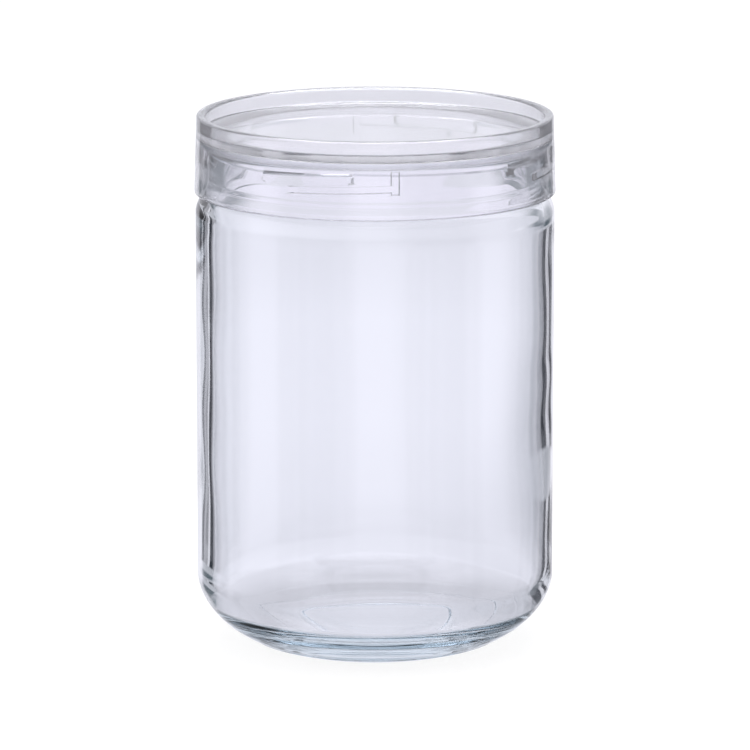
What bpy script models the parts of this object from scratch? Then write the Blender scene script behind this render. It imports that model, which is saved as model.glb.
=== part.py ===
"""Round glass storage jar with a four-start screw lid and a soft sealing ring.

Metres, +Z up. The origin is at the centre of the ring that the jar stands on, and the front is at -Y.
The lid is shown screwed down: its lugs lie under the glass thread bars, and the seal fills the space
between the rim of the glass and the lid's plate.
"""

import math

import bmesh
import bpy
from mathutils import Matrix

# Glass body
BODY_RADIUS = 0.0522
JAR_HEIGHT = 0.1480
BODY_WALL = 0.0036
FLOOR_THICKNESS = 0.0060
INNER_HEEL_REACH = 0.0115
INNER_HEEL_HEIGHT = 0.0140
HEEL_HEIGHT = 0.0202
HEEL_REACH = 0.0260
HEEL_FULLNESS_SHARE = 1.77
STAND_RING_WIDTH = 0.0034
PUSH_UP_HEIGHT = 0.0014

# Glass neck and shoulder
NECK_SETBACK = 0.0038
NECK_WALL = 0.0040
NECK_HEIGHT = 0.0096
SHOULDER_HEIGHT = 0.0102
RIM_ROUND = 0.0013

# Thread, the same for the glass bars and the lid's lugs
THREAD_STARTS = 4
THREAD_LEAD = 0.0100
THREAD_CLEARANCE = 0.0005
THREAD_PLAY = 0.0003

# Glass thread bars
BAR_HEIGHT = 0.0030
BAR_BELOW_RIM = 0.0009
BAR_END_ROUND = 0.0022
BAR_FULLNESS_SHARE = 3.0
BAR_START_DEG = -40.0
BAR_END_DEG = -7.0

# Lid
SKIRT_ROOM = 0.0019
SKIRT_WALL = 0.0022
SKIRT_DRAFT = 0.0007
SKIRT_DROP_SHARE = 0.41
RIM_WALL = 0.0027
RECESS_DEPTH = 0.00445
PLATE_THICKNESS = 0.00175
RIM_INNER_ROUND = 0.0010
RIM_OUTER_ROUND = 0.00065
RECESS_FILLET = 0.0006
SKIRT_EDGE_ROUND = 0.0005
PLATE_FILLET = 0.0005

# Lid lugs and stop ribs
LUG_HEIGHT = 0.0019
LUG_END_ROUND = 0.0012
LUG_FULLNESS_SHARE = 5.0
LUG_START_DEG = -29.0
LUG_END_DEG = 6.6
RIB_WIDTH = 0.0022
RIB_HEIGHT = 0.0064
RIB_ROUND = 0.0004
RIB_ROUND_STEPS = 2

# Sealing ring
SEAL_THICKNESS = 0.0020
SEAL_INSET = 0.0010
SEAL_EDGE_ROUND = 0.0003
SEAL_GAP = 0.0003

# How far a joined bead or rib is sunk in its wall
UNION_SINK = 0.0006

# Fineness
TURN_STEPS = 60
ROUND_POINTS = 4
CURVE_POINTS = 8
HEEL_POINTS = 12
BEAD_POINTS = 7
BEAD_MIDDLE_STEPS = 8
BEAD_END_STEPS = 3
POLE_MERGE = 0.00001
FRONT_DEG = -90.0

# Places that follow from the sizes above
INNER_RADIUS = BODY_RADIUS - BODY_WALL
INNER_FLOOR_RADIUS = INNER_RADIUS - INNER_HEEL_REACH
NECK_RADIUS = BODY_RADIUS - NECK_SETBACK
MOUTH_RADIUS = NECK_RADIUS - NECK_WALL
NECK_FOOT = JAR_HEIGHT - NECK_HEIGHT
SHOULDER_FOOT = NECK_FOOT - SHOULDER_HEIGHT
STAND_RADIUS = BODY_RADIUS - HEEL_REACH
SEAL_BOTTOM = JAR_HEIGHT + SEAL_GAP
SEAL_TOP = SEAL_BOTTOM + SEAL_THICKNESS
PLATE_UNDERSIDE = SEAL_TOP + SEAL_GAP
RECESS_FLOOR = PLATE_UNDERSIDE + PLATE_THICKNESS
LID_TOP = RECESS_FLOOR + RECESS_DEPTH
LID_BOTTOM = NECK_FOOT - SHOULDER_HEIGHT * SKIRT_DROP_SHARE
SKIRT_INNER_RADIUS = NECK_RADIUS + SKIRT_ROOM
SKIRT_RADIUS = SKIRT_INNER_RADIUS + SKIRT_WALL
LID_TOP_RADIUS = SKIRT_RADIUS - SKIRT_DRAFT
RECESS_RADIUS = LID_TOP_RADIUS - RIM_WALL
SEAL_OUTER_RADIUS = SKIRT_INNER_RADIUS - SEAL_GAP
SEAL_INNER_RADIUS = MOUTH_RADIUS + SEAL_INSET
THREAD_REACH = SKIRT_ROOM - THREAD_CLEARANCE
RIB_CENTRE_DEG = LUG_END_DEG + math.degrees((RIB_WIDTH / 2 - LUG_END_ROUND) / SKIRT_INNER_RADIUS)


def arc(centre, reach, start_deg, end_deg, count):
    """Points along part of an ellipse about centre, with both of its ends."""
    points = []
    for i in range(count):
        angle = math.radians(start_deg + (end_deg - start_deg) * i / (count - 1))
        points.append((centre[0] + reach[0] * math.cos(angle), centre[1] + reach[1] * math.sin(angle)))
    return points


def s_curve(start, end, count):
    """Points from start to end that leave and arrive upright, as a moulded shoulder does."""
    points = []
    for i in range(count):
        along = i / (count - 1)
        across = (1 - math.cos(math.pi * along)) / 2
        points.append((start[0] + (end[0] - start[0]) * across, start[1] + (end[1] - start[1]) * along))
    return points


def heel_curve():
    """The outer heel, from the body's side down to the ring that the jar stands on."""
    power = 2 / HEEL_FULLNESS_SHARE
    points = []
    for i in range(HEEL_POINTS):
        angle = math.pi / 2 * i / (HEEL_POINTS - 1)
        across = max(math.cos(angle), 0.0) ** power
        down = math.sin(angle) ** power
        points.append((STAND_RADIUS + HEEL_REACH * across, HEEL_HEIGHT * (1 - down)))
    points[-1] = (STAND_RADIUS, 0.0)
    return points


def push_up_curve():
    """The underside inside the standing ring, rising to the middle."""
    ring_inner = STAND_RADIUS - STAND_RING_WIDTH
    points = []
    for i in range(ROUND_POINTS + 1):
        along = i / ROUND_POINTS
        points.append((ring_inner * (1 - along), PUSH_UP_HEIGHT * math.sin(math.pi / 2 * along)))
    points[-1] = (0.0, PUSH_UP_HEIGHT)
    return points


def jar_profile():
    """Inner floor, inner wall, rim, outer wall, heel and underside, in that order."""
    points = [(0.0, FLOOR_THICKNESS)]
    inner_heel_centre = (INNER_FLOOR_RADIUS, FLOOR_THICKNESS + INNER_HEEL_HEIGHT)
    inner_heel_reach = (INNER_RADIUS - INNER_FLOOR_RADIUS, INNER_HEEL_HEIGHT)
    points += arc(inner_heel_centre, inner_heel_reach, -90, 0, CURVE_POINTS)
    points += s_curve((INNER_RADIUS, SHOULDER_FOOT), (MOUTH_RADIUS, NECK_FOOT), CURVE_POINTS)
    rim = (RIM_ROUND, RIM_ROUND)
    points += arc((MOUTH_RADIUS + RIM_ROUND, JAR_HEIGHT - RIM_ROUND), rim, 180, 90, ROUND_POINTS)
    points += arc((NECK_RADIUS - RIM_ROUND, JAR_HEIGHT - RIM_ROUND), rim, 90, 0, ROUND_POINTS)
    points += s_curve((NECK_RADIUS, NECK_FOOT), (BODY_RADIUS, SHOULDER_FOOT), CURVE_POINTS)
    points += heel_curve()
    points += push_up_curve()
    return points


def lid_profile():
    """Recess floor, rim, outer skirt, inner skirt and the plate's underside, in that order."""
    points = [(0.0, RECESS_FLOOR)]
    fillet = (RECESS_FILLET, RECESS_FILLET)
    inner_round = (RIM_INNER_ROUND, RIM_INNER_ROUND)
    outer_round = (RIM_OUTER_ROUND, RIM_OUTER_ROUND)
    edge = (SKIRT_EDGE_ROUND, SKIRT_EDGE_ROUND)
    plate = (PLATE_FILLET, PLATE_FILLET)
    edge_height = LID_BOTTOM + SKIRT_EDGE_ROUND
    fillet_centre = (RECESS_RADIUS - RECESS_FILLET, RECESS_FLOOR + RECESS_FILLET)
    inner_centre = (RECESS_RADIUS + RIM_INNER_ROUND, LID_TOP - RIM_INNER_ROUND)
    outer_centre = (LID_TOP_RADIUS - RIM_OUTER_ROUND, LID_TOP - RIM_OUTER_ROUND)
    plate_centre = (SKIRT_INNER_RADIUS - PLATE_FILLET, PLATE_UNDERSIDE - PLATE_FILLET)
    points += arc(fillet_centre, fillet, -90, 0, ROUND_POINTS)
    points += arc(inner_centre, inner_round, 180, 90, ROUND_POINTS)
    points += arc(outer_centre, outer_round, 90, 0, ROUND_POINTS)
    points += arc((SKIRT_RADIUS - SKIRT_EDGE_ROUND, edge_height), edge, 0, -90, ROUND_POINTS)
    points += arc((SKIRT_INNER_RADIUS + SKIRT_EDGE_ROUND, edge_height), edge, -90, -180, ROUND_POINTS)
    points += arc(plate_centre, plate, 0, 90, ROUND_POINTS)
    points.append((0.0, PLATE_UNDERSIDE))
    return points


def seal_profile():
    """A flat ring with rounded edges, down its outer side and up its inner side."""
    edge = (SEAL_EDGE_ROUND, SEAL_EDGE_ROUND)
    outer = SEAL_OUTER_RADIUS - SEAL_EDGE_ROUND
    inner = SEAL_INNER_RADIUS + SEAL_EDGE_ROUND
    high = SEAL_TOP - SEAL_EDGE_ROUND
    low = SEAL_BOTTOM + SEAL_EDGE_ROUND
    points = arc((outer, high), edge, 90, 0, ROUND_POINTS - 1)
    points += arc((outer, low), edge, 0, -90, ROUND_POINTS - 1)
    points += arc((inner, low), edge, -90, -180, ROUND_POINTS - 1)
    points += arc((inner, high), edge, 180, 90, ROUND_POINTS - 1)
    return points


def new_object(name, mesh, collection):
    obj = bpy.data.objects.new(name, mesh)
    collection.objects.link(obj)
    return obj


def turned(name, profile, collection, closed=False):
    """A profile at +X turned once about the jar's axis."""
    edges = [(i, i + 1) for i in range(len(profile) - 1)]
    if closed:
        edges.append((len(profile) - 1, 0))
    mesh = bpy.data.meshes.new(name)
    mesh.from_pydata([(x, 0.0, z) for x, z in profile], edges, [])
    obj = new_object(name, mesh, collection)
    screw = obj.modifiers.new("turn", "SCREW")
    screw.steps = TURN_STEPS
    screw.render_steps = TURN_STEPS
    screw.use_merge_vertices = True
    screw.merge_threshold = POLE_MERGE
    return obj


def quarter_angles(azimuth_deg):
    """One angle for each thread start, from an azimuth measured from the front towards +X."""
    step = 360 / THREAD_STARTS
    return [math.radians(FRONT_DEG + azimuth_deg + step * k) for k in range(THREAD_STARTS)]


def bar_middle_height(azimuth_deg):
    """The height of a glass bar's middle line, which climbs towards +X by the thread's lead."""
    at_end = JAR_HEIGHT - BAR_BELOW_RIM - BAR_HEIGHT / 2
    return at_end + THREAD_LEAD * (azimuth_deg - BAR_END_DEG) / 360


def lug_middle_height(azimuth_deg):
    """A lug's middle line, which stays under the bars by the thread's play."""
    return bar_middle_height(azimuth_deg) - BAR_HEIGHT / 2 - THREAD_PLAY - LUG_HEIGHT / 2


def bead_section(fullness_share):
    """Shares of reach and half height round a bead's free face, from its lower to its upper edge."""
    points = []
    for i in range(BEAD_POINTS):
        angle = math.pi * (i / (BEAD_POINTS - 1) - 0.5)
        across = max(math.cos(angle), 0.0) ** (2 / fullness_share)
        up = math.copysign(abs(math.sin(angle)) ** (2 / fullness_share), angle)
        points.append((across, up))
    return points


def bead_stations(start_deg, end_deg, end_round_deg):
    """Azimuths along a bead, each with the share of the full section there: rounded at both ends."""
    quarter = [math.pi / 2 * (i + 0.5) / BEAD_END_STEPS for i in range(BEAD_END_STEPS)]
    first = [(start_deg + end_round_deg * (1 - math.cos(q)), math.sin(q)) for q in quarter]
    last = [(end_deg - end_round_deg * (1 - math.cos(q)), math.sin(q)) for q in reversed(quarter)]
    straight = end_deg - start_deg - 2 * end_round_deg
    middle = []
    for i in range(BEAD_MIDDLE_STEPS + 1):
        middle.append((start_deg + end_round_deg + straight * i / BEAD_MIDDLE_STEPS, 1.0))
    return first + middle + last


def add_bead(bm, turn, wall_radius, outward, half_height, section, stations, middle_height):
    """Lofts one bead along its stations. Its back is sunk in the wall that it is joined to."""
    rings = []
    for azimuth_deg, share in stations:
        angle = turn + math.radians(azimuth_deg)
        middle = middle_height(azimuth_deg)
        back = wall_radius - outward * UNION_SINK
        outline = [(back, middle - half_height * share)]
        for across, up in section:
            radius = wall_radius + outward * THREAD_REACH * share * across
            outline.append((radius, middle + half_height * share * up))
        outline.append((back, middle + half_height * share))
        rings.append([bm.verts.new((r * math.cos(angle), r * math.sin(angle), z)) for r, z in outline])
    for ring, following in zip(rings, rings[1:]):
        for i in range(len(ring)):
            j = (i + 1) % len(ring)
            bm.faces.new((ring[i], ring[j], following[j], following[i]))
    bm.faces.new(rings[0])
    bm.faces.new(rings[-1])


def beads(name, wall_radius, outward, height, fullness_share, ends_deg, end_round, middle_height,
          collection):
    """One bead for each thread start, in one mesh, to join to a wall."""
    section = bead_section(fullness_share)
    end_round_deg = math.degrees(end_round / wall_radius)
    stations = bead_stations(ends_deg[0], ends_deg[1], end_round_deg)
    bm = bmesh.new()
    for turn in quarter_angles(0.0):
        add_bead(bm, turn, wall_radius, outward, height / 2, section, stations, middle_height)
    bmesh.ops.recalc_face_normals(bm, faces=bm.faces)
    mesh = bpy.data.meshes.new(name)
    bm.to_mesh(mesh)
    bm.free()
    mesh.shade_smooth()
    return new_object(name, mesh, collection)


def stop_ribs(collection):
    """Upright ribs at the lugs' leading ends. Their tops also keep the seal up in the lid."""
    depth = THREAD_REACH + UNION_SINK
    radius = SKIRT_INNER_RADIUS - THREAD_REACH + depth / 2
    height = SEAL_BOTTOM - SEAL_GAP - RIB_HEIGHT / 2
    bm = bmesh.new()
    for angle in quarter_angles(RIB_CENTRE_DEG):
        place = Matrix.Rotation(angle, 4, "Z") @ Matrix.Translation((radius, 0.0, height))
        size = Matrix.Diagonal((depth, RIB_WIDTH, RIB_HEIGHT, 1.0))
        bmesh.ops.create_cube(bm, size=1.0, matrix=place @ size)
    mesh = bpy.data.meshes.new("stop_rib_shapes")
    bm.to_mesh(mesh)
    bm.free()
    obj = new_object("stop_rib_shapes", mesh, collection)
    bevel = obj.modifiers.new("rounded", "BEVEL")
    bevel.width = RIB_ROUND
    bevel.segments = RIB_ROUND_STEPS
    return obj


def join(obj, tool):
    """Joins a helper shape to a piece, and takes the helper out of the finished model."""
    union = obj.modifiers.new("join " + tool.name, "BOOLEAN")
    union.operation = "UNION"
    union.solver = "EXACT"
    union.object = tool
    tool.hide_render = True
    tool.display_type = "WIRE"


def finish(obj, color, roughness, transmission, ior):
    """Gives a piece its own material."""
    material = bpy.data.materials.new(obj.name)
    material.use_nodes = True
    shader = material.node_tree.nodes["Principled BSDF"]
    shader.inputs["Base Color"].default_value = color
    shader.inputs["Roughness"].default_value = roughness
    shader.inputs["Metallic"].default_value = 0.0
    shader.inputs["Transmission Weight"].default_value = transmission
    shader.inputs["IOR"].default_value = ior
    obj.data.materials.append(material)


def make_jar(parts, helpers):
    jar = turned("glass_jar", jar_profile(), parts)
    ends = (BAR_START_DEG, BAR_END_DEG)
    bars = beads("thread_bar_shapes", NECK_RADIUS, 1, BAR_HEIGHT, BAR_FULLNESS_SHARE, ends, BAR_END_ROUND,
                 bar_middle_height, helpers)
    join(jar, bars)
    finish(jar, (0.93, 0.96, 0.97, 1.0), 0.02, 1.0, 1.52)


def make_lid(parts, helpers):
    lid = turned("screw_lid", lid_profile(), parts)
    ends = (LUG_START_DEG, LUG_END_DEG)
    lugs = beads("lug_shapes", SKIRT_INNER_RADIUS, -1, LUG_HEIGHT, LUG_FULLNESS_SHARE, ends, LUG_END_ROUND,
                 lug_middle_height, helpers)
    join(lid, lugs)
    join(lid, stop_ribs(helpers))
    finish(lid, (0.92, 0.92, 0.97, 1.0), 0.06, 0.95, 1.57)


def make_seal(parts):
    seal = turned("lid_gasket", seal_profile(), parts, closed=True)
    finish(seal, (0.86, 0.87, 0.90, 1.0), 0.35, 0.7, 1.43)


def main():
    for obj in list(bpy.data.objects):
        bpy.data.objects.remove(obj, do_unlink=True)
    parts = bpy.data.collections.new("glass_storage_jar")
    helpers = bpy.data.collections.new("helper_shapes")
    bpy.context.scene.collection.children.link(parts)
    bpy.context.scene.collection.children.link(helpers)
    make_jar(parts, helpers)
    make_lid(parts, helpers)
    make_seal(parts)


main()
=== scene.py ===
"""Looks of a round glass storage jar with a clear screw lid and a soft sealing ring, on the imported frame.

Metres, +Z up, the jar's axis on Z and its front at -Y. Azimuths are degrees from the front towards +X.
"""
import math

import bpy
import numpy as np
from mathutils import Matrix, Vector


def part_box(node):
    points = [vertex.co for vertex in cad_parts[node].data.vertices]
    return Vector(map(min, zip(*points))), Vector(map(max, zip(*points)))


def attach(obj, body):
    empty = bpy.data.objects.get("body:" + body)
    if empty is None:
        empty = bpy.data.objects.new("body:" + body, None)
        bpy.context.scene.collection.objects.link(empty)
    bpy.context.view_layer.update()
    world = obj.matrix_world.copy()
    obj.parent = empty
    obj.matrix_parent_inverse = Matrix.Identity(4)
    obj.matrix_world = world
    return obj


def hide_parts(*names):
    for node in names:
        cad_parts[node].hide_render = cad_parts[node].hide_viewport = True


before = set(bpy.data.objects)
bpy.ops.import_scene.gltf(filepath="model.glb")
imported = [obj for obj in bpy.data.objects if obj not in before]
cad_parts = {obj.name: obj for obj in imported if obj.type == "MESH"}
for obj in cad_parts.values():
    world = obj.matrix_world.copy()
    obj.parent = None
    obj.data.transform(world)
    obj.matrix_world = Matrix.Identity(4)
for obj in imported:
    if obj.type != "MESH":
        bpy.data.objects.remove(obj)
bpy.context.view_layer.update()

# Sizes read from the frame
_, jar_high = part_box("glass_jar")
lid_low, lid_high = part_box("screw_lid")
seal_low, seal_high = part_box("lid_gasket")
BODY_RADIUS = jar_high.x
JAR_HEIGHT = jar_high.z
LID_TOP = lid_high.z
LID_BOTTOM = lid_low.z
SKIRT_RADIUS = lid_high.x
SEAL_RADIUS = seal_high.x
SEAL_TOP = seal_high.z
SEAL_BOTTOM = seal_low.z

# Glass sizes. The outside is as in the solids. The wall's thickness, the inner shoulder and heel, the floor
# and the underside follow what the photograph shows through the glass.
BODY_WALL = 0.00385
NECK_RADIUS = BODY_RADIUS - 0.0038
NECK_WALL = 0.0040
MOUTH_RADIUS = NECK_RADIUS - NECK_WALL
NECK_FOOT = JAR_HEIGHT - 0.0096
SHOULDER_HEIGHT = 0.0102
INNER_SHOULDER_DROP = 0.0006
FLOOR_THICKNESS = 0.0072
INNER_HEEL_ARCS = (
    # from the wall down: radius, slope at its lower end in degrees from upright
    (0.0260, 18.0),
    (0.0030, 43.0),
    (0.0195, 90.0),
)
HEEL_REACH = 0.0260
HEEL_HEIGHT = 0.0202
HEEL_POWER = 1.77
STAND_RING_WIDTH = 0.0034
PUSH_UP_HEIGHT = 0.0005
PUSH_UP_RUN = 0.0010
FLAT_GUARD = 0.0003
RIM_ROUND = 0.0013
MOULD_LINES = (0.1392, 0.1376, 0.1352)
MOULD_LINE_HALF = 0.00035
MOULD_LINE_RISE = 0.00004
BASE_LINES = (
    # the mould's bottom plate on the heel: radius, rise, half width
    (0.0373, 0.00018, 0.00045),
    (0.0440, 0.00007, 0.00050),
)

# The inner wall as pressed: off centre, with slow waves and a few swellings and hollows
EVEN_BELOW = 0.0116
UNEVEN_ABOVE = 0.0256
UNEVEN_FADE = 1.3 * SHOULDER_HEIGHT
OFF_CENTRE = 0.00075
WALL_WAVES = (
    # size, waves round the jar, length of a wave up the jar, phase
    (0.00003, 3, 0.090, 0.6),
    (0.000012, 9, 0.070, 2.0),
)
WALL_SWELLS = (
    # outward size, azimuth, height, half width in degrees, half height
    (0.00016, -68, 0.089, 10, 0.012),
    (0.00008, -72, 0.055, 8, 0.010),
    (0.00006, -73, 0.118, 9, 0.009),
    (-0.00026, 76, 0.066, 26, 0.011),
    (0.00028, 76, 0.040, 26, 0.011),
    (-0.00014, 75, 0.084, 16, 0.006),
    (-0.00008, 80, 0.114, 12, 0.008),
)

# Lid sizes, as in the solids
SKIRT_INNER_RADIUS = NECK_RADIUS + 0.0019
LID_TOP_RADIUS = SKIRT_RADIUS - 0.0007
RECESS_RADIUS = LID_TOP_RADIUS - 0.0027
PLATE_UNDERSIDE = SEAL_TOP + 0.0003
RECESS_FLOOR = PLATE_UNDERSIDE + 0.00175
RIM_INNER_ROUND = 0.0010
RIM_OUTER_ROUND = 0.00065
RECESS_FILLET = 0.0006
SKIRT_EDGE_ROUND = 0.0005
PLATE_FILLET = 0.0005
# The rows inside the skirt slope with the lugs. The slope fades in from a foot above the skirt's edge and
# is gone just below the glass rim, and rows between them carry it.
SLOPE_FOOT = 0.002
SLOPE_TOP = 0.0003
SLOPE_ROW = 0.004
ROWS_ABOVE_LUG = (0.0018, 0.0030)

# Thread. Rows of bars and lugs are heights from the middle, in half heights. Rows of ribs are heights from
# either end, and their columns are degrees from either upright edge, where even columns are left out.
STARTS = 4
QUARTER_DEG = 360 / STARTS
LEAD = 0.0100
REACH = SKIRT_INNER_RADIUS - NECK_RADIUS - 0.0005
BAR_HALF_HEIGHT = 0.0015
BAR_MIDDLE = JAR_HEIGHT - 0.0009 - BAR_HALF_HEIGHT
BAR_AZIMUTHS = (-40.0, -7.0)
BAR_END_ROUND = 0.0022
BAR_FLANK_SHARE = 0.14
BAR_POWER = 3
BAR_ROWS = (1.15, 1.0, 0.97, 0.94, 0.91, 0.88, 0.85, 0.45, 0.15)
LUG_HALF_HEIGHT = 0.00095
LUG_AZIMUTHS = (-29.0, 6.6)
LUG_RUN_IN = 0.0030
LUG_EDGE_SHARE = 1.06
LUG_FLANK_SHARE = 0.14
LUG_ROWS = (-1.12, -1.0, -0.9, -0.8, -0.4, 0.0, 0.4, 0.8, 0.9, 1.0, 1.12)
RUNNING_GAP = 0.0003
LUG_RISE = LEAD * (LUG_AZIMUTHS[1] - BAR_AZIMUTHS[1]) / 360
LUG_MIDDLE = BAR_MIDDLE - BAR_HALF_HEIGHT - RUNNING_GAP - LUG_HALF_HEIGHT + LUG_RISE
RIB_CENTRE = 6.49
RIB_HALF_WIDTH = 0.0011
RIB_HALF_DEG = math.degrees(RIB_HALF_WIDTH / SKIRT_INNER_RADIUS)
RIB_AZIMUTHS = (RIB_CENTRE - RIB_HALF_DEG, RIB_CENTRE + RIB_HALF_DEG)
RIB_HEIGHT = 0.0064
RIB_END_FLANK = 0.0001
RIB_SIDE_FLANK = 0.0002
RIB_ROWS = (-0.0001, 0.0001, 0.0003)
RIB_EDGE_COLUMNS = (-0.3, -0.1, 0.1, 0.3)
RIB_EDGE_CLEAR = 0.35

# Seal
SEAL_INNER_RADIUS = MOUTH_RADIUS + 0.0010
SEAL_EDGE_ROUND = 0.0003

# Fineness
JAR_COLUMNS = 104
LID_COLUMNS = 100
SEAL_COLUMNS = 60
FLAT_ROWS = 3
WALL_ROWS = 40
INNER_HEEL_ROWS = 12
INNER_SHOULDER_ROWS = 18
INNER_NECK_ROWS = 1
SHOULDER_ROWS = 20
HEEL_ROWS = 30
LINE_ROWS = 7
PUSH_UP_ROWS = 8
RIM_ROWS = 7
PLATE_ROWS = 4
RECESS_FILLET_ROWS = 8
RIM_INNER_ROWS = 9
RIM_OUTER_ROWS = 8
SKIRT_EDGE_ROWS = 7
PLATE_FILLET_ROWS = 7
SEAL_EDGE_ROWS = 6
INSIDE_MARK = "inside"
MERGE = 0.000002
SHARP_DEG = 38.0

# Camera, fitted to the outline in the photograph
CAMERA_PITCH_DEG = 11.85
CAMERA_DISTANCE = 1.5715
CAMERA_TARGET_RISE = 0.00093
FOCAL_PIXELS = 5366.0
IMAGE_PIXELS = 750.0
SENSOR = 0.036


def arc(centre, reach, start_deg, end_deg, count):
    """Points along part of an ellipse, with both of its ends."""
    angles = np.radians(np.linspace(start_deg, end_deg, count))
    return [(centre[0] + reach[0] * math.cos(a), centre[1] + reach[1] * math.sin(a)) for a in angles]


def s_curve(start, end, count):
    """Points from start to end that leave and arrive upright."""
    points = []
    for along in np.linspace(0, 1, count):
        across = (1 - math.cos(math.pi * along)) / 2
        points.append((start[0] + (end[0] - start[0]) * across, start[1] + (end[1] - start[1]) * along))
    return points


def straight(start, end, count):
    """Points between start and end, without either."""
    shares = np.linspace(0, 1, count + 2)[1:-1]
    return [(start[0] + (end[0] - start[0]) * s, start[1] + (end[1] - start[1]) * s) for s in shares]


def smooth(t):
    """A smooth step from 0 to 1."""
    t = np.clip(t, 0.0, 1.0)
    return t * t * (3 - 2 * t)


def climb(azimuth, ends):
    """Height of a thread feature over its right end: it rises along itself and falls back in the gap."""
    start, end = ends
    a = (azimuth - start) % QUARTER_DEG + start
    drop = LEAD * (end - start) / 360
    inside = LEAD * (a - end) / 360
    back = -drop * (a - end) / (start + QUARTER_DEG - end)
    return np.where(a <= end, inside, back)


def past_ends(azimuth, ends, radius):
    """Length past the ends of a feature along the wall, negative inside it."""
    middle = (ends[0] + ends[1]) / 2
    away = np.abs((azimuth - middle + QUARTER_DEG / 2) % QUARTER_DEG - QUARTER_DEG / 2)
    return np.radians(away - (ends[1] - ends[0]) / 2) * radius


def even_columns(count):
    """Azimuths of even columns over a quarter turn, with both of its ends."""
    return list(np.linspace(-QUARTER_DEG / 2, QUARTER_DEG / 2, count + 1))


def quarter_mesh(name, points, columns, shape):
    """A quarter turn of a wall: profile points by azimuth columns, each point moved by shape."""
    rows = np.array(points)
    azimuths = np.array(columns)
    r, a = np.meshgrid(rows[:, 0], azimuths, indexing="ij")
    z, _ = np.meshgrid(rows[:, 1], azimuths, indexing="ij")
    r, z = shape(r, z, a)
    angle = np.radians(a - 90.0)
    places = np.stack([r * np.cos(angle), r * np.sin(angle), z], axis=-1).reshape(-1, 3)
    count = len(azimuths)
    faces = []
    for i in range(len(points) - 1):
        for j in range(count - 1):
            k = i * count + j
            faces.append((k, k + count, k + count + 1, k + 1))
    mesh = bpy.data.meshes.new(name)
    mesh.from_pydata(places.tolist(), [], faces)
    mesh.update()
    return mesh


def round_tree():
    """Geometry Nodes that make the whole of a quarter wall: repeat, realise, merge, smooth, material."""
    tree = bpy.data.node_groups.new("whole_round", "GeometryNodeTree")
    face = tree.interface
    face.new_socket("Geometry", in_out="INPUT", socket_type="NodeSocketGeometry")
    face.new_socket("Count", in_out="INPUT", socket_type="NodeSocketInt")
    face.new_socket("Merge", in_out="INPUT", socket_type="NodeSocketFloat")
    face.new_socket("Material", in_out="INPUT", socket_type="NodeSocketMaterial")
    face.new_socket("Geometry", in_out="OUTPUT", socket_type="NodeSocketGeometry")
    node = tree.nodes.new
    link = tree.links.new
    given = node("NodeGroupInput")
    places = node("GeometryNodeMeshLine")
    places.inputs["Offset"].default_value = (0, 0, 0)
    index = node("GeometryNodeInputIndex")
    turn = node("ShaderNodeMath")
    turn.operation = "DIVIDE"
    turn.inputs[0].default_value = math.tau
    angle = node("ShaderNodeMath")
    angle.operation = "MULTIPLY"
    spin = node("ShaderNodeCombineXYZ")
    copies = node("GeometryNodeInstanceOnPoints")
    real = node("GeometryNodeRealizeInstances")
    merged = node("GeometryNodeMergeByDistance")
    shaded = node("GeometryNodeSetShadeSmooth")
    finished = node("GeometryNodeSetMaterial")
    result = node("NodeGroupOutput")
    link(given.outputs["Count"], places.inputs["Count"])
    link(given.outputs["Count"], turn.inputs[1])
    link(turn.outputs[0], angle.inputs[0])
    link(index.outputs[0], angle.inputs[1])
    link(angle.outputs[0], spin.inputs["Z"])
    link(places.outputs[0], copies.inputs["Points"])
    link(given.outputs["Geometry"], copies.inputs["Instance"])
    link(spin.outputs[0], copies.inputs["Rotation"])
    link(copies.outputs[0], real.inputs[0])
    link(real.outputs[0], merged.inputs["Geometry"])
    link(given.outputs["Merge"], merged.inputs["Distance"])
    link(merged.outputs[0], shaded.inputs["Geometry"])
    link(shaded.outputs[0], finished.inputs["Geometry"])
    link(given.outputs["Material"], finished.inputs["Material"])
    link(finished.outputs[0], result.inputs["Geometry"])
    return tree


def set_input(modifier, name, value):
    """Sets a Geometry Nodes input by its socket's identifier."""
    for item in modifier.node_group.interface.items_tree:
        if item.name == name and item.in_out == "INPUT":
            modifier[item.identifier] = value


def whole_round(name, quarter, tree, material):
    """Repeats a quarter wall round the axis and returns the result as a plain mesh object."""
    maker = bpy.data.objects.new(name + "_quarter", quarter)
    bpy.context.scene.collection.objects.link(maker)
    modifier = maker.modifiers.new("round", "NODES")
    modifier.node_group = tree
    set_input(modifier, "Count", STARTS)
    set_input(modifier, "Merge", MERGE)
    set_input(modifier, "Material", material)
    graph = bpy.context.evaluated_depsgraph_get()
    mesh = bpy.data.meshes.new_from_object(maker.evaluated_get(graph))
    bpy.data.objects.remove(maker)
    mesh.name = name
    obj = bpy.data.objects.new(name, mesh)
    bpy.context.scene.collection.objects.link(obj)
    return obj


def face_out(obj):
    """Turns the faces outwards if the closed mesh came out inside out."""
    mesh = obj.data
    mesh.calc_loop_triangles()
    places = np.zeros(len(mesh.vertices) * 3)
    mesh.vertices.foreach_get("co", places)
    corners = np.zeros(len(mesh.loop_triangles) * 3, dtype=np.int32)
    mesh.loop_triangles.foreach_get("vertices", corners)
    a, b, c = places.reshape(-1, 3)[corners.reshape(-1, 3)].transpose(1, 0, 2)
    volume = np.einsum("ij,ij->i", a, np.cross(b, c)).sum() / 6
    if volume < 0:
        mesh.flip_normals()
    mesh.set_sharp_from_angle(angle=math.radians(SHARP_DEG))


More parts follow.
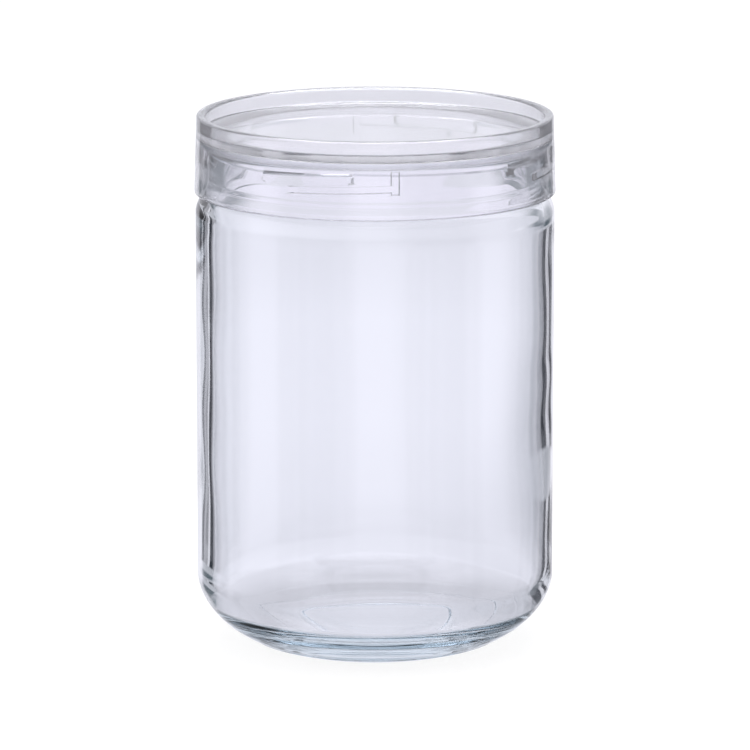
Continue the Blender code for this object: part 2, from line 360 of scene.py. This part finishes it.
# Glass jar
def inner_heel(wall_radius):
    """Points from the floor up to the upright wall, along arcs that run into each other."""
    points = []
    corner = (wall_radius, 0.0)
    start = 0.0
    for radius, end in INNER_HEEL_ARCS:
        slope = math.radians(start)
        centre = (corner[0] - radius * math.cos(slope), corner[1] + radius * math.sin(slope))
        joined = 1 if points else 0
        points += arc(centre, (radius, radius), -start, -end, INNER_HEEL_ROWS)[joined:]
        corner = points[-1]
        start = end
    lift = FLOOR_THICKNESS - corner[1]
    return [(r, z + lift) for r, z in reversed(points)]


def inner_points():
    """Profile of the inside: floor, round heel, wall, shoulder and neck."""
    inner = BODY_RADIUS - BODY_WALL
    heel = inner_heel(inner)
    floor_edge = (heel[0][0] - FLAT_GUARD, FLOOR_THICKNESS)
    neck_foot = NECK_FOOT - INNER_SHOULDER_DROP
    wall_head = (inner, neck_foot - SHOULDER_HEIGHT)
    middle = (0.0, FLOOR_THICKNESS)
    points = [middle] + straight(middle, floor_edge, FLAT_ROWS) + [floor_edge]
    points += heel + straight(heel[-1], wall_head, WALL_ROWS)
    points += s_curve(wall_head, (MOUTH_RADIUS, neck_foot), INNER_SHOULDER_ROWS)
    rim_foot = (MOUTH_RADIUS, JAR_HEIGHT - RIM_ROUND)
    points += straight((MOUTH_RADIUS, neck_foot), rim_foot, INNER_NECK_ROWS)
    return points


def outer_points():
    """Profile of the outside: rim, neck with rows for the bars, shoulder, body, heel and underside."""
    rim = (RIM_ROUND, RIM_ROUND)
    points = arc((MOUTH_RADIUS + RIM_ROUND, JAR_HEIGHT - RIM_ROUND), rim, 180, 90, RIM_ROWS)
    points += arc((NECK_RADIUS - RIM_ROUND, JAR_HEIGHT - RIM_ROUND), rim, 90, 0, RIM_ROWS)
    for share in BAR_ROWS + tuple(-s for s in reversed(BAR_ROWS)):
        points.append((NECK_RADIUS, BAR_MIDDLE + share * BAR_HALF_HEIGHT))
    shoulder_foot = (BODY_RADIUS, NECK_FOOT - SHOULDER_HEIGHT)
    points += s_curve((NECK_RADIUS, NECK_FOOT), shoulder_foot, SHOULDER_ROWS)
    below = BAR_MIDDLE - BAR_ROWS[0] * BAR_HALF_HEIGHT
    for middle in MOULD_LINES:
        for share in np.linspace(-1, 1, LINE_ROWS):
            z = middle + share * MOULD_LINE_HALF
            fall = np.clip((NECK_FOOT - z) / SHOULDER_HEIGHT, 0, 1)
            r = NECK_RADIUS + (BODY_RADIUS - NECK_RADIUS) * (1 - math.cos(math.pi * fall)) / 2
            points.append((r + MOULD_LINE_RISE * math.cos(math.pi / 2 * share) ** 2, z))
    shoulder = sorted((p for p in points if p[1] <= below), key=lambda p: -p[1])
    points = [p for p in points if p[1] > below] + shoulder
    points += straight(shoulder_foot, (BODY_RADIUS, HEEL_HEIGHT), FLAT_ROWS)
    stand = BODY_RADIUS - HEEL_REACH
    angles = np.linspace(0, math.pi / 2, HEEL_ROWS)
    heel = [(max(math.cos(angle), 0.0) ** (2 / HEEL_POWER), 0.0) for angle in angles]
    for radius, rise, half_width in BASE_LINES:
        for share in np.linspace(-1, 1, LINE_ROWS):
            across = (radius + share * half_width - stand) / HEEL_REACH
            heel.append((across, rise * math.cos(math.pi / 2 * share) ** 2))
    for across, rise in sorted(heel, reverse=True):
        down = (1 - across ** HEEL_POWER) ** (1 / HEEL_POWER)
        points.append((stand + HEEL_REACH * across, HEEL_HEIGHT * (1 - down) - rise))
    ring_inner = stand - STAND_RING_WIDTH
    for along in np.linspace(0, 1, PUSH_UP_ROWS):
        rise = (1 - math.cos(math.pi * along)) / 2
        points.append((ring_inner - PUSH_UP_RUN * along, PUSH_UP_HEIGHT * rise))
    flat_edge = (points[-1][0] - FLAT_GUARD, PUSH_UP_HEIGHT)
    points += [flat_edge] + straight(flat_edge, (0.0, PUSH_UP_HEIGHT), FLAT_ROWS) + [(0.0, PUSH_UP_HEIGHT)]
    return points


def jar_shape(r, z, azimuth):
    """Adds the four thread bars to the neck."""
    on_neck = (np.abs(r - NECK_RADIUS) < MERGE) & (z > NECK_FOOT + MERGE)
    on_neck = on_neck & (z < JAR_HEIGHT - RIM_ROUND / 2)
    fade = smooth((z - NECK_FOOT) / (BAR_MIDDLE - BAR_ROWS[0] * BAR_HALF_HEIGHT - NECK_FOOT))
    drop = climb(azimuth, BAR_AZIMUTHS)
    up = np.abs(z - BAR_MIDDLE) / BAR_HALF_HEIGHT
    along = np.clip(past_ends(azimuth, BAR_AZIMUTHS, NECK_RADIUS) / BAR_END_ROUND + 1, 0, None)
    away = (up ** BAR_POWER + along ** BAR_POWER) ** (1 / BAR_POWER)
    bar = REACH * smooth((1 - away) / BAR_FLANK_SHARE)
    return np.where(on_neck, r + bar, r), np.where(on_neck, z + drop * fade, z)


def jar_quarter():
    """A quarter of the jar, with its inner side marked so that only that side runs uneven."""
    inside = inner_points()
    columns = even_columns(JAR_COLUMNS)
    mesh = quarter_mesh("jar", inside + outer_points(), columns, jar_shape)
    marks = np.zeros(len(mesh.vertices), dtype=np.float32)
    marks[:len(inside) * len(columns)] = 1.0
    mesh.attributes.new(INSIDE_MARK, "FLOAT", "POINT").data.foreach_set("value", marks)
    return mesh


def uneven_inner_wall(obj):
    """Moves the inner wall a little out or in, as pressed glass runs."""
    mesh = obj.data
    places = np.zeros(len(mesh.vertices) * 3)
    mesh.vertices.foreach_get("co", places)
    places = places.reshape(-1, 3)
    inside = np.zeros(len(mesh.vertices), dtype=np.float32)
    mesh.attributes[INSIDE_MARK].data.foreach_get("value", inside)
    radius = np.hypot(places[:, 0], places[:, 1])
    z = places[:, 2]
    angle = np.arctan2(places[:, 1], places[:, 0])
    weight = inside * smooth((z - EVEN_BELOW) / (UNEVEN_ABOVE - EVEN_BELOW))
    weight = weight * smooth((NECK_FOOT - z) / UNEVEN_FADE)
    shift = OFF_CENTRE * np.cos(angle)
    for size, turns, length, phase in WALL_WAVES:
        shift = shift + size * np.sin(turns * angle + math.tau * z / length + phase)
    for size, azimuth, height, width, tall in WALL_SWELLS:
        away = np.angle(np.exp(1j * (angle - math.radians(azimuth - 90))))
        shift = shift + size * np.exp(-(away / math.radians(width)) ** 2 - ((z - height) / tall) ** 2)
    scale = 1 + weight * shift / np.maximum(radius, MOUTH_RADIUS / 2)
    places[:, 0] *= scale
    places[:, 1] *= scale
    mesh.vertices.foreach_set("co", places.ravel())
    mesh.attributes.remove(mesh.attributes[INSIDE_MARK])
    mesh.update()


# Lid
def lid_points():
    """Profile of the lid: recess, rim, outer skirt, inner skirt with rows for lugs and ribs, underside."""
    fillet = (RECESS_FILLET, RECESS_FILLET)
    inner_round = (RIM_INNER_ROUND, RIM_INNER_ROUND)
    outer_round = (RIM_OUTER_ROUND, RIM_OUTER_ROUND)
    edge = (SKIRT_EDGE_ROUND, SKIRT_EDGE_ROUND)
    plate = (PLATE_FILLET, PLATE_FILLET)
    points = [(0.0, RECESS_FLOOR)]
    floor_edge = RECESS_RADIUS - RECESS_FILLET
    points += straight((0.0, RECESS_FLOOR), (floor_edge, RECESS_FLOOR), PLATE_ROWS)
    points += arc((floor_edge, RECESS_FLOOR + RECESS_FILLET), fillet, -90, 0, RECESS_FILLET_ROWS)
    rim_inner = (RECESS_RADIUS + RIM_INNER_ROUND, LID_TOP - RIM_INNER_ROUND)
    points += arc(rim_inner, inner_round, 180, 90, RIM_INNER_ROWS)
    rim_outer = (LID_TOP_RADIUS - RIM_OUTER_ROUND, LID_TOP - RIM_OUTER_ROUND)
    points += arc(rim_outer, outer_round, 90, 0, RIM_OUTER_ROWS)
    edge_height = LID_BOTTOM + SKIRT_EDGE_ROUND
    points += arc((SKIRT_RADIUS - SKIRT_EDGE_ROUND, edge_height), edge, 0, -90, SKIRT_EDGE_ROWS)
    points += arc((SKIRT_INNER_RADIUS + SKIRT_EDGE_ROUND, edge_height), edge, -90, -180, SKIRT_EDGE_ROWS)
    heights = [LUG_MIDDLE + s * LUG_HALF_HEIGHT for s in LUG_ROWS]
    heights += [JAR_HEIGHT - RIB_HEIGHT + row for row in RIB_ROWS]
    heights += [JAR_HEIGHT - row for row in RIB_ROWS]
    heights += [LUG_MIDDLE + row for row in ROWS_ABOVE_LUG]
    heights += [LID_BOTTOM + SLOPE_FOOT, LID_BOTTOM + SLOPE_ROW]
    points += [(SKIRT_INNER_RADIUS, h) for h in sorted(heights)]
    plate_edge = SKIRT_INNER_RADIUS - PLATE_FILLET
    points += arc((plate_edge, PLATE_UNDERSIDE - PLATE_FILLET), plate, 0, 90, PLATE_FILLET_ROWS)
    points += straight((plate_edge, PLATE_UNDERSIDE), (0.0, PLATE_UNDERSIDE), PLATE_ROWS)
    points.append((0.0, PLATE_UNDERSIDE))
    return points


def lid_columns():
    """Even azimuths over a quarter, with closer ones at the upright edges of the rib."""
    columns = even_columns(LID_COLUMNS)
    columns = [c for c in columns if min(abs(c - e) for e in RIB_AZIMUTHS) > RIB_EDGE_CLEAR]
    for edge in RIB_AZIMUTHS:
        columns += [edge + beside for beside in RIB_EDGE_COLUMNS]
    return sorted(columns)


def lid_shape(r, z, azimuth):
    """Adds the four lugs and their stop ribs inside the skirt."""
    on_skirt = (np.abs(r - SKIRT_INNER_RADIUS) < MERGE) & (z > LID_BOTTOM + SKIRT_EDGE_ROUND)
    on_skirt = on_skirt & (z < PLATE_UNDERSIDE - PLATE_FILLET - MERGE)
    lug_reach = LUG_ROWS[-1] * LUG_HALF_HEIGHT
    fade = smooth((z - LID_BOTTOM - SLOPE_FOOT) / (LUG_MIDDLE - lug_reach - LID_BOTTOM - SLOPE_FOOT))
    fade = fade * smooth((JAR_HEIGHT - SLOPE_TOP - z) / (JAR_HEIGHT - SLOPE_TOP - LUG_MIDDLE - lug_reach))
    drop = climb(azimuth, LUG_AZIMUTHS)
    up = np.abs(z - LUG_MIDDLE) / LUG_HALF_HEIGHT
    from_left = np.radians(azimuth - LUG_AZIMUTHS[0]) * SKIRT_INNER_RADIUS
    lug = np.clip((LUG_EDGE_SHARE - up) / LUG_FLANK_SHARE, 0, 1) ** 0.5
    lug = lug * smooth(from_left / LUG_RUN_IN) * (azimuth < LUG_AZIMUTHS[1])
    across = past_ends(azimuth, RIB_AZIMUTHS, SKIRT_INNER_RADIUS)
    tall = np.clip((JAR_HEIGHT - z) / RIB_END_FLANK, 0, 1)
    tall = tall * np.clip((z - JAR_HEIGHT + RIB_HEIGHT) / RIB_END_FLANK, 0, 1)
    rib = np.clip(-across / RIB_SIDE_FLANK + 0.5, 0, 1) * tall
    inward = REACH * np.maximum(lug, rib)
    return np.where(on_skirt, r - inward, r), np.where(on_skirt, z + drop * fade, z)


# Seal
def seal_points():
    """A flat ring with rounded edges, closed on itself."""
    edge = (SEAL_EDGE_ROUND, SEAL_EDGE_ROUND)
    outer = SEAL_RADIUS - SEAL_EDGE_ROUND
    inner = SEAL_INNER_RADIUS + SEAL_EDGE_ROUND
    high = SEAL_TOP - SEAL_EDGE_ROUND
    low = SEAL_BOTTOM + SEAL_EDGE_ROUND
    points = []
    corners = ((outer, high, 90), (outer, low, 0), (inner, low, -90), (inner, high, 180))
    for r, z, start in corners:
        points += arc((r, z), edge, start, start - 90, SEAL_EDGE_ROWS)
    points.append(points[0])
    return points


def unchanged(r, z, azimuth):
    """A plain turned shape."""
    return r, z


# Materials
GLASS_COLOR = (0.985, 0.985, 1.0, 1.0)
GLASS_TINT = (0.71, 0.82, 0.87, 1.0)
GLASS_TINT_DENSITY = 9.0
PLASTIC_COLOR = (0.99, 0.985, 1.0, 1.0)
SEAL_COLOR = (0.93, 0.94, 0.97, 1.0)


def clear_material(name, color, roughness, transmission, ior):
    """A clear material, with its constants on the shader's own sockets."""
    material = bpy.data.materials.new(name)
    material.use_nodes = True
    shader = material.node_tree.nodes["Principled BSDF"]
    shader.inputs["Base Color"].default_value = color
    shader.inputs["Roughness"].default_value = roughness
    shader.inputs["Transmission Weight"].default_value = transmission
    shader.inputs["IOR"].default_value = ior
    return material


def jar_glass():
    """Smooth glass that tints what passes through it, more where it is thicker."""
    material = clear_material("clear_pressed_glass", GLASS_COLOR, roughness=0.0, transmission=1.0, ior=1.52)
    tree = material.node_tree
    volume = tree.nodes.new("ShaderNodeVolumeAbsorption")
    volume.inputs["Color"].default_value = GLASS_TINT
    volume.inputs["Density"].default_value = GLASS_TINT_DENSITY
    tree.links.new(volume.outputs[0], tree.nodes["Material Output"].inputs["Volume"])
    return material


def lid_plastic():
    """Glossy plastic, a little less clear than glass."""
    return clear_material("clear_lid_plastic", PLASTIC_COLOR, roughness=0.02, transmission=0.90, ior=1.57)


def seal_rubber():
    """Satin, see-through rubber."""
    return clear_material("clear_soft_seal", SEAL_COLOR, roughness=0.25, transmission=1.0, ior=1.42)


# Studio colours
WHITE = (1.0, 1.0, 1.0, 1.0)
THROUGH_COLOR = (0.93, 0.935, 1.02, 1.0)
AMBIENT_COLOR = (0.75, 0.75, 0.78, 1.0)
OVERHEAD_COLOR = (0.85, 0.86, 0.93, 1.0)
SOFTBOX_COLOR = (9.0, 9.0, 9.5, 1.0)
CEILING_COLOR = (2.2, 2.2, 2.35, 1.0)
# seen past the lid; on the floor this is a painted brighter glow
PAST_LID_COLOR = (1.05, 1.03, 1.15, 1.0)
EVEN_COLOR = (0.78, 0.785, 0.87, 1.0)
PAINTED_SIDE_SHADE_COLOR = (0.56, 0.57, 0.63, 1.0)
ROOM_COLOR = (0.26, 0.33, 0.37, 1.0)
PALE = (0.95, 0.95, 1.03)
DARK = (0.0, 0.003, 0.01)
TEAL = (0.06, 0.095, 0.115)

# Upright strips of the studio, which repeat every quarter turn. Each row is an azimuth from straight behind
# and the strip's share of the way from dark to pale.
WALL_STRIPS = (
    # what shows inside a glass wall
    (-45, 0.45),
    (-40.5, 0.30),
    (-39.2, 0.0),
    (-35.4, 0.0),
    (-34, 0.92),
    (-32.2, 0.92),
    (-30.4, 0.40),
    (-24, 0.44),
    (-21.5, 0.0),
    (-18.8, 0.0),
    (-17, 0.92),
    (14, 0.92),
    (16.5, 0.0),
    (22, 0.0),
    (24.5, 0.90),
    (28.6, 0.86),
    (31, 0.0),
    (45, 0.0),
)
OUTER_STRIPS = (
    # what an outer face mirrors
    (-45, 0.12),
    (-30, 0.20),
    (-24, 0.88),
    (17, 0.88),
    (23, 0.20),
    (45, 0.12),
)
INSIDE_STRIPS = (
    # what shows through the lid and the neck
    (-45, 0.0),
    (-29, 0.0),
    (-14, 1.0),
    (14, 1.0),
    (29, 0.0),
    (45, 0.0),
)
RIM_STRIPS = (
    # what shows inside the lid's own walls
    (-45, 0.50),
    (-30, 0.55),
    (-15, 0.98),
    (15, 0.98),
    (30, 0.55),
    (45, 0.50),
)
NECK_STRIPS = (
    # what shows inside the neck through the lid
    (-45, 0.0),
    (-24, 0.0),
    (-8, 0.9),
    (8, 0.9),
    (24, 0.0),
    (45, 0.0),
)
BENEATH_STRIPS = (
    # what shows in the heel from beneath
    (-45, 0.22),
    (-28, 0.28),
    (-10, 0.55),
    (10, 0.55),
    (28, 0.24),
    (45, 0.18),
)
FAR_FLOOR_PAINTED_SHADE_STRIPS = (
    # painted shade in upright strips at the far end of the floor, seen through the glass
    (-45, 0.0),
    (-15, 0.04),
    (-8, 1.0),
    (8, 1.0),
    (15, 0.04),
    (45, 0.0),
)
FLOOR_PAINTED_SHADE_RINGS = (
    # painted shadow round the jar and painted shade far off, in the floor's glow through the glass:
    # distance from the jar's axis, brightness
    (0.02, 0.74),
    (0.035, 0.58),
    (0.055, 0.62),
    (0.075, 0.80),
    (0.11, 0.88),
    (0.20, 0.96),
    (0.30, 1.00),
    (0.48, 1.00),
    (0.66, 0.88),
)

# Where the studio changes, as the start and end of a smooth step. First by how often a ray was reflected or
# has passed a surface.
ONCE = (0.4, 0.6)
PAST_WALL = (2.4, 2.6)
PAST_LID = (4.4, 4.6)
# By how far a direction points up, with straight up as 1
BENEATH_LEVEL = (-0.32, -0.50)
RIM_LEVEL = (-0.176, -0.166)
INSIDE_LEVEL = (-0.135, -0.120)
HORIZON = (-0.08, 0.12)
ROOM_FOOT = (0.03, 0.08)
ROOM_TOP = (0.20, 0.28)
SOFTBOX_FOOT = (0.70, 0.88)
SOFTBOX_TOP = (0.90, 0.96)
# By how far a direction points away from the photograph's side, which keeps this share of the strips
BEHIND = (0.50, 0.70)
FRONT_STRIPS_SHARE = 0.4
# By distance on the floor
SHADE_FROM = (0.09, 0.22)
FLOOR_END = (0.79, 0.83)
# By share of a quarter turn, where half is straight behind
SHADE_RISE = (0.57, 0.80)
SHADE_FALL = (0.88, 1.0)

FLOOR_SIZE = 4.0
FLOOR_GAP = 0.0001
FLOOR_MATTE = 0.20
FLOOR_GLOW = 0.88
LAMPS = (
    # name, place, size, power
    ("overhead_lamp", (0.0, 0.1, 1.1), 0.9, 5.0),
    ("left_lamp", (-0.9, -0.7, 0.8), 0.6, 3.0),
    ("right_lamp", (1.0, -0.5, 0.7), 0.6, 2.0),
)


def mixed(tree, factor, first, second):
    """A colour mix: first where the factor is 0, second where it is 1. Each is a value or a socket."""
    mix = tree.nodes.new("ShaderNodeMix")
    mix.data_type = "RGBA"
    colors = [socket for socket in mix.inputs if socket.type == "RGBA"]
    for socket, value in zip([mix.inputs[0]] + colors, (factor, first, second)):
        if isinstance(value, (tuple, float)):
            socket.default_value = value
        else:
            tree.links.new(value, socket)
    return [socket for socket in mix.outputs if socket.type == "RGBA"][0]


def color_ramp(tree, position, stops, interpolation):
    """A colour ramp, from pairs of a place and a colour."""
    ramp = tree.nodes.new("ShaderNodeValToRGB")
    elements = ramp.color_ramp.elements
    while len(elements) < len(stops):
        elements.new(1.0)
    for element, (place, color) in zip(elements, stops):
        element.position = place
        element.color = color + (1.0,)
    ramp.color_ramp.interpolation = interpolation
    tree.links.new(position, ramp.inputs[0])
    return ramp.outputs[0]


def strip_ramp(tree, position, strips, dark):
    """The colours of a table of strips, over a quarter turn."""
    stops = []
    for degrees, value in strips:
        color = tuple(d + (p - d) * value for d, p in zip(dark, PALE))
        stops.append((degrees / QUARTER_DEG + 0.5, color))
    return color_ramp(tree, position, stops, "EASE")


def step(tree, value, limits):
    """A smooth step from 0 to 1 between two limits."""
    rise = tree.nodes.new("ShaderNodeMapRange")
    rise.interpolation_type = "SMOOTHSTEP"
    rise.inputs["From Min"].default_value = limits[0]
    rise.inputs["From Max"].default_value = limits[1]
    tree.links.new(value, rise.inputs["Value"])
    return rise.outputs[0]


def quarter_share(tree, vector):
    """A vector's parts, and its azimuth from straight behind as a share of a quarter turn."""
    edge = math.radians(QUARTER_DEG / 2)
    parts = tree.nodes.new("ShaderNodeSeparateXYZ")
    azimuth = tree.nodes.new("ShaderNodeMath")
    azimuth.operation = "ARCTAN2"
    wrapped = tree.nodes.new("ShaderNodeMath")
    wrapped.operation = "WRAP"
    wrapped.inputs[1].default_value = edge
    wrapped.inputs[2].default_value = -edge
    share = tree.nodes.new("ShaderNodeMapRange")
    share.inputs["From Min"].default_value = -edge
    share.inputs["From Max"].default_value = edge
    tree.links.new(vector, parts.inputs[0])
    tree.links.new(parts.outputs["X"], azimuth.inputs[0])
    tree.links.new(parts.outputs["Y"], azimuth.inputs[1])
    tree.links.new(azimuth.outputs[0], wrapped.inputs[0])
    tree.links.new(wrapped.outputs[0], share.inputs["Value"])
    return parts, share.outputs[0]


def reflected_group():
    """What a reflection shows by direction: soft light above, and strips below the horizon."""
    group = bpy.data.node_groups.new("studio_strips", "ShaderNodeTree")
    group.interface.new_socket("Direction", in_out="INPUT", socket_type="NodeSocketVector")
    group.interface.new_socket("Color", in_out="OUTPUT", socket_type="NodeSocketColor")
    given = group.nodes.new("NodeGroupInput")
    path = group.nodes.new("ShaderNodeLightPath")
    result = group.nodes.new("NodeGroupOutput")
    parts, share = quarter_share(group, given.outputs[0])
    away = parts.outputs["Y"]
    up = parts.outputs["Z"]
    passed = path.outputs["Transmission Depth"]
    entered = step(group, passed, ONCE)
    outer = strip_ramp(group, share, OUTER_STRIPS, DARK)
    wall = strip_ramp(group, share, WALL_STRIPS, DARK)
    inside = strip_ramp(group, share, INSIDE_STRIPS, TEAL)
    rim = strip_ramp(group, share, RIM_STRIPS, TEAL)
    neck = strip_ramp(group, share, NECK_STRIPS, TEAL)
    beneath = strip_ramp(group, share, BENEATH_STRIPS, TEAL)
    wall = mixed(group, step(group, up, RIM_LEVEL), wall, rim)
    wall = mixed(group, step(group, up, INSIDE_LEVEL), wall, inside)
    low = mixed(group, entered, outer, wall)
    low = mixed(group, step(group, passed, PAST_WALL), low, inside)
    front = mixed(group, FRONT_STRIPS_SHARE, EVEN_COLOR, low)
    low = mixed(group, step(group, away, BEHIND), front, low)
    low = mixed(group, step(group, passed, PAST_LID), low, neck)
    low = mixed(group, step(group, up, BENEATH_LEVEL), low, beneath)
    softbox = mixed(group, entered, SOFTBOX_COLOR, CEILING_COLOR)
    high = mixed(group, step(group, up, SOFTBOX_FOOT), OVERHEAD_COLOR, softbox)
    high = mixed(group, step(group, up, SOFTBOX_TOP), high, OVERHEAD_COLOR)
    both = mixed(group, step(group, up, HORIZON), low, high)
    group.links.new(both, result.inputs[0])
    return group


def make_world():
    """White to the camera, pale through clear walls, patterned in reflections, even on matte surfaces."""
    world = bpy.data.worlds.new("studio")
    bpy.context.scene.world = world
    world.use_nodes = True
    tree = world.node_tree
    direction = tree.nodes.new("ShaderNodeTexCoord").outputs["Generated"]
    path = tree.nodes.new("ShaderNodeLightPath")
    pattern = tree.nodes.new("ShaderNodeGroup")
    pattern.node_tree = reflected_group()
    tree.links.new(direction, pattern.inputs[0])
    parts = tree.nodes.new("ShaderNodeSeparateXYZ")
    tree.links.new(direction, parts.inputs[0])
    up = parts.outputs["Z"]
    room = mixed(tree, step(tree, up, ROOM_TOP), ROOM_COLOR, THROUGH_COLOR)
    through = mixed(tree, step(tree, up, ROOM_FOOT), THROUGH_COLOR, room)
    past_lid = step(tree, path.outputs["Transmission Depth"], PAST_LID)
    through = mixed(tree, past_lid, through, PAST_LID_COLOR)
    seen = mixed(tree, step(tree, path.outputs["Glossy Depth"], ONCE), through, pattern.outputs[0])
    seen = mixed(tree, path.outputs["Is Diffuse Ray"], seen, AMBIENT_COLOR)
    seen = mixed(tree, path.outputs["Is Camera Ray"], seen, WHITE)
    tree.links.new(seen, tree.nodes["Background"].inputs["Color"])


def make_floor():
    """A wide pale floor, white to the camera, with the jar's soft shadow. Through clear walls it shows a
    painted glow with painted shade, brighter past the lid. Reflections look past it.
    """
    mesh = bpy.data.meshes.new("floor")
    size = FLOOR_SIZE
    corners = [(-size, -size, 0), (size, -size, 0), (size, size, 0), (-size, size, 0)]
    mesh.from_pydata(corners, [], [(0, 1, 2, 3)])
    floor = bpy.data.objects.new("floor", mesh)
    bpy.context.scene.collection.objects.link(floor)
    floor.location.z = -FLOOR_GAP
    material = bpy.data.materials.new("floor")
    material.use_nodes = True
    tree = material.node_tree
    link = tree.links.new
    tree.nodes.remove(tree.nodes["Principled BSDF"])
    matte = tree.nodes.new("ShaderNodeBsdfDiffuse")
    matte.inputs["Color"].default_value = (FLOOR_MATTE, FLOOR_MATTE, FLOOR_MATTE, 1)
    path = tree.nodes.new("ShaderNodeLightPath")
    strength = tree.nodes.new("ShaderNodeMath")
    strength.operation = "MULTIPLY"
    strength.inputs[1].default_value = FLOOR_GLOW
    link(path.outputs["Is Camera Ray"], strength.inputs[0])
    glow = tree.nodes.new("ShaderNodeEmission")
    link(strength.outputs[0], glow.inputs["Strength"])
    seen = tree.nodes.new("ShaderNodeAddShader")
    link(matte.outputs[0], seen.inputs[0])
    link(glow.outputs[0], seen.inputs[1])
    place = tree.nodes.new("ShaderNodeTexCoord").outputs["Object"]
    measure = tree.nodes.new("ShaderNodeVectorMath")
    measure.operation = "LENGTH"
    link(place, measure.inputs[0])
    distance = measure.outputs["Value"]
    _, share = quarter_share(tree, place)
    # Painted shadow round the jar and painted shade far off, in the floor's glow through the glass
    stops = [(radius, tuple(value * c for c in THROUGH_COLOR[:3])) for radius, value in FLOOR_PAINTED_SHADE_RINGS]
    painted_shade_rings = color_ramp(tree, distance, stops, "LINEAR")
    # Painted shade on one side of the floor's glow, by azimuth, seen through the glass
    shaded = mixed(tree, step(tree, share, SHADE_RISE), painted_shade_rings, PAINTED_SIDE_SHADE_COLOR)
    shaded = mixed(tree, step(tree, share, SHADE_FALL), shaded, painted_shade_rings)
    near = mixed(tree, step(tree, distance, SHADE_FROM), painted_shade_rings, shaded)
    # A painted brighter glow where a ray has passed the lid
    near = mixed(tree, step(tree, path.outputs["Transmission Depth"], PAST_LID), near, PAST_LID_COLOR)
    # Painted shade in upright strips at the floor's far end
    far = strip_ramp(tree, share, FAR_FLOOR_PAINTED_SHADE_STRIPS, TEAL)
    beneath = tree.nodes.new("ShaderNodeEmission")
    link(mixed(tree, step(tree, distance, FLOOR_END), near, far), beneath.inputs["Color"])
    clear = tree.nodes.new("ShaderNodeBsdfTransparent")
    past_glass = tree.nodes.new("ShaderNodeMixShader")
    link(path.outputs["Is Transmission Ray"], past_glass.inputs[0])
    link(seen.outputs[0], past_glass.inputs[1])
    link(beneath.outputs[0], past_glass.inputs[2])
    reflected = tree.nodes.new("ShaderNodeMixShader")
    link(step(tree, path.outputs["Glossy Depth"], ONCE), reflected.inputs[0])
    link(past_glass.outputs[0], reflected.inputs[1])
    link(clear.outputs[0], reflected.inputs[2])
    link(reflected.outputs[0], tree.nodes["Material Output"].inputs["Surface"])
    mesh.materials.append(material)


def make_lamps():
    """Soft square lamps that no mirror or clear wall shows."""
    middle = Vector((0, 0, LID_TOP / 2))
    for name, place, size, power in LAMPS:
        lamp = bpy.data.lights.new(name, "AREA")
        lamp.shape = "SQUARE"
        lamp.size = size
        lamp.energy = power
        obj = bpy.data.objects.new(name, lamp)
        bpy.context.scene.collection.objects.link(obj)
        obj.location = place
        obj.rotation_euler = (middle - Vector(place)).to_track_quat("-Z", "Y").to_euler()
        obj.visible_camera = False
        obj.visible_glossy = False
        obj.visible_transmission = False


def make_camera():
    """The photograph's view."""
    pitch = math.radians(CAMERA_PITCH_DEG)
    target = Vector((0, 0, LID_TOP / 2 + CAMERA_TARGET_RISE))
    data = bpy.data.cameras.new("camera")
    data.sensor_width = SENSOR * 1000
    data.lens = FOCAL_PIXELS / IMAGE_PIXELS * data.sensor_width
    data.clip_start = 0.01
    data.clip_end = 50
    camera = bpy.data.objects.new("camera", data)
    bpy.context.scene.collection.objects.link(camera)
    camera.location = target + Vector((0, -math.cos(pitch), math.sin(pitch))) * CAMERA_DISTANCE
    camera.rotation_euler = (target - camera.location).to_track_quat("-Z", "Y").to_euler()
    bpy.context.scene.camera = camera


def build():
    """Makes the three pieces and puts each on its body, in place of its solid."""
    tree = round_tree()
    jar = whole_round("jar_glass", jar_quarter(), tree, jar_glass())
    uneven_inner_wall(jar)
    lid_quarter = quarter_mesh("lid", lid_points(), lid_columns(), lid_shape)
    lid = whole_round("lid_shell", lid_quarter, tree, lid_plastic())
    seal_quarter = quarter_mesh("seal", seal_points(), even_columns(SEAL_COLUMNS), unchanged)
    seal = whole_round("seal_ring", seal_quarter, tree, seal_rubber())
    for piece, body, node, slot in (
        (jar, "jar", "glass_jar", "clear_glass"),
        (lid, "lid", "screw_lid", "clear_plastic"),
        (seal, "seal", "lid_gasket", "soft_seal"),
    ):
        face_out(piece)
        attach(piece, body)
        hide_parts(node)


def set_render():
    """Plain colours, and enough bounces for clear walls behind clear walls."""
    scene = bpy.context.scene
    scene.view_settings.view_transform = "Standard"
    scene.cycles.max_bounces = 32
    scene.cycles.transmission_bounces = 32
    scene.cycles.glossy_bounces = 16
    scene.cycles.diffuse_bounces = 4


build()
make_world()
make_floor()
make_lamps()
make_camera()
set_render()
